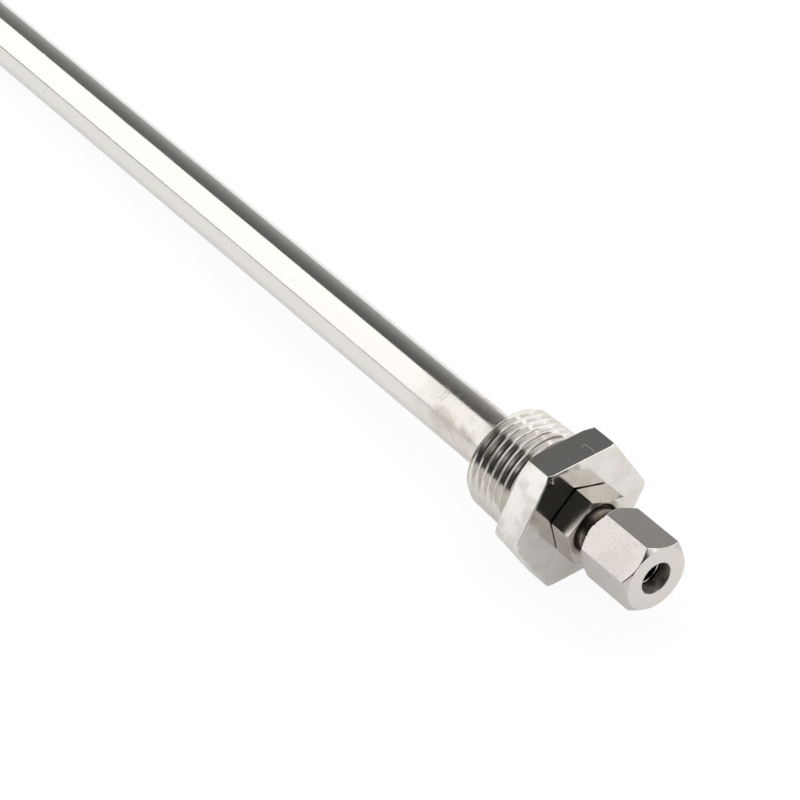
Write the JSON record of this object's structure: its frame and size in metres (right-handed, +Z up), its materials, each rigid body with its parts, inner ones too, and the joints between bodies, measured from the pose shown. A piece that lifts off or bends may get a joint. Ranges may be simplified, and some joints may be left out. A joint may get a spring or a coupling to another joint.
{
  "type": "thermowell",
  "caption": "Stainless thermowell lying down: long closed stem, hexagon bushing with taper pipe thread, and a compression nut that turns to grip a probe.",
  "frame": {"origin": "on the surface that the well lies on, under the middle of its box", "axes": "+X along the stem towards the nut, +Z up from the surface, +Y to the left of the nut's way out"},
  "size_m": [0.2268, 0.0294, 0.0256],
  "materials": {
    "stem_steel": "drawn and polished stainless tube",
    "weld_steel": "stainless weld bead, tinted by heat",
    "bushing_steel": "bright turned and milled stainless",
    "fitting_steel": "bright turned stainless",
    "olive_steel": "smooth turned stainless",
    "nut_steel": "turned stainless with grained flats"
  },
  "bodies": {
    "well": {"stem_tube": "stem_steel", "tip_plug": "stem_steel", "stem_weld": "weld_steel", "hex_bushing": "bushing_steel", "fitting_body": "fitting_steel"},
    "olive": {"olive": "olive_steel"},
    "nut": {"compression_nut": "nut_steel"}
  },
  "joints": [
    {"name": "olive_slide", "type": "slide", "parent": "well", "child": "olive", "axis": [0.9993, 0, 0.0362], "range_m": [0, 0.005]},
    {"name": "nut_turn", "type": "hinge", "parent": "olive", "child": "nut", "pos_m": [0.0993, 0, 0.01315], "axis": [0.9993, 0, 0.0362], "range_deg": [0, 1800]}
  ],
  "couplings": [
    {"joint": "olive_slide", "follows": "nut_turn", "m_per_rad": 0.00015915}
  ]
}
